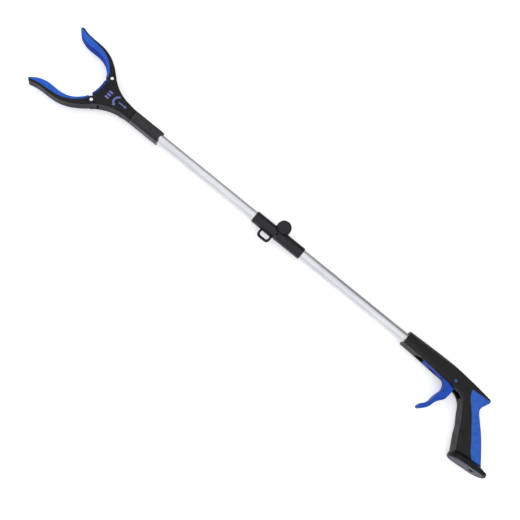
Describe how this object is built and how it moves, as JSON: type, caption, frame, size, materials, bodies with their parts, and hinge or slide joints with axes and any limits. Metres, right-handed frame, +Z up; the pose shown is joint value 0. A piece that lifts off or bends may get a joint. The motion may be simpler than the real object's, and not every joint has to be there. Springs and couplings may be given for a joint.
{
  "type": "reacher grabber",
  "caption": "Folding hand-held reacher grabber: pistol handle with trigger, aluminium shaft with mid fold joint, turning head with padded curved jaws.",
  "frame": {"origin": "centre of the bounding box at its lowest plane, lying on its side", "axes": "+X along the shaft from the jaws to the handle, +Y away from the grip, +Z up along every pivot"},
  "size_m": [0.8006, 0.1454, 0.0304],
  "materials": {
    "black_plastic": "fine moulded texture",
    "dark_grey_plastic": "smooth moulded",
    "blue_rubber": "soft-touch, satin",
    "blue_plastic": "satin moulded",
    "tube_aluminium": "satin anodised, drawn lengthwise",
    "bright_steel": "bright plated",
    "zinc_steel": "zinc plated",
    "cable_wire": "stranded wire"
  },
  "bodies": {
    "handle": {"lower_tube": "tube_aluminium", "lower_knuckle": "black_plastic", "shaft_rivet_lower": "bright_steel", "hinge_cap": "black_plastic", "hinge_bolt": "bright_steel", "hinge_nut": "bright_steel", "backstrap": "blue_rubber", "handle_shell_near": "black_plastic", "handle_shell_far": "black_plastic", "handle_screws": "zinc_steel", "trigger_pin": "blue_plastic", "cable_guide": "dark_grey_plastic", "trigger_spring": "zinc_steel", "butt_flange": "black_plastic", "butt_plate": "dark_grey_plastic"},
    "trigger": {"trigger": "blue_plastic"},
    "lower_cable": {"lower_cable": "cable_wire", "cable_nipple": "bright_steel", "cable_bridge": "cable_wire"},
    "upper_shaft": {"upper_knuckle": "black_plastic", "upper_tube": "tube_aluminium", "head_collar": "black_plastic", "shaft_rivets_upper": "bright_steel", "latch_spring": "zinc_steel"},
    "latch": {"latch_ring": "dark_grey_plastic", "latch_bolt": "zinc_steel"},
    "upper_cable": {"upper_cable": "cable_wire", "cable_ferrule": "bright_steel"},
    "head": {"palm_shell_near": "black_plastic", "palm_shell_far": "black_plastic", "palm_liner": "blue_rubber", "jaw_screws": "bright_steel", "palm_screws": "zinc_steel", "return_spring": "zinc_steel"},
    "crosshead": {"crosshead": "dark_grey_plastic"},
    "jaw_upper": {"jaw_upper_frame": "black_plastic", "jaw_upper_pad": "blue_rubber", "jaw_upper_pin": "bright_steel"},
    "jaw_lower": {"jaw_lower_frame": "black_plastic", "jaw_lower_pad": "blue_rubber", "jaw_lower_pin": "bright_steel"}
  },
  "joints": [
    {"name": "trigger_pull", "type": "hinge", "parent": "handle", "child": "trigger", "pos_m": [0.29564, 0.01204, 0.0152], "axis": [0, 0, 1], "range_deg": [0, 31.33], "stiffness_Nm_per_rad": 0.3, "deforming": ["trigger_spring"]},
    {"name": "lower_cable_slide", "type": "slide", "parent": "handle", "child": "lower_cable", "axis": [1, 0, 0], "range_m": [0, 0.00486]},
    {"name": "fold", "type": "hinge", "parent": "handle", "child": "upper_shaft", "pos_m": [-0.01136, 0.02764, 0.0152], "axis": [0, 0, -1], "range_deg": [0, 170], "deforming": ["cable_bridge"]},
    {"name": "latch_pull", "type": "slide", "parent": "upper_shaft", "child": "latch", "axis": [-1, 0, 0], "range_m": [0, 0.004], "stiffness_N_per_m": 60, "deforming": ["latch_spring"]},
    {"name": "upper_cable_slide", "type": "slide", "parent": "upper_shaft", "child": "upper_cable", "axis": [1, 0, 0], "range_m": [0, 0.00486]},
    {"name": "head_turn", "type": "hinge", "parent": "upper_shaft", "child": "head", "pos_m": [-0.26546, 0.01804, 0.0152], "axis": [1, 0, 0], "range_deg": [0, 90]},
    {"name": "crosshead_slide", "type": "slide", "parent": "head", "child": "crosshead", "axis": [1, 0, 0], "range_m": [0, 0.00486], "deforming": ["return_spring"]},
    {"name": "jaw_upper_close", "type": "hinge", "parent": "head", "child": "jaw_upper", "pos_m": [-0.31936, 0.03934, 0.0152], "axis": [0, 0, 1], "range_deg": [0, 33.85]},
    {"name": "jaw_lower_close", "type": "hinge", "parent": "head", "child": "jaw_lower", "pos_m": [-0.31936, -0.00326, 0.0152], "axis": [0, 0, -1], "range_deg": [0, 33.85]}
  ],
  "couplings": [
    {"joint": "lower_cable_slide", "follows": "trigger_pull", "m_per_rad": 0.0088883},
    {"joint": "upper_cable_slide", "follows": "trigger_pull", "m_per_rad": 0.0088883},
    {"joint": "crosshead_slide", "follows": "trigger_pull", "m_per_rad": 0.0088883},
    {"joint": "jaw_upper_close", "follows": "trigger_pull", "ratio": 1.0805},
    {"joint": "jaw_lower_close", "follows": "trigger_pull", "ratio": 1.0805}
  ]
}
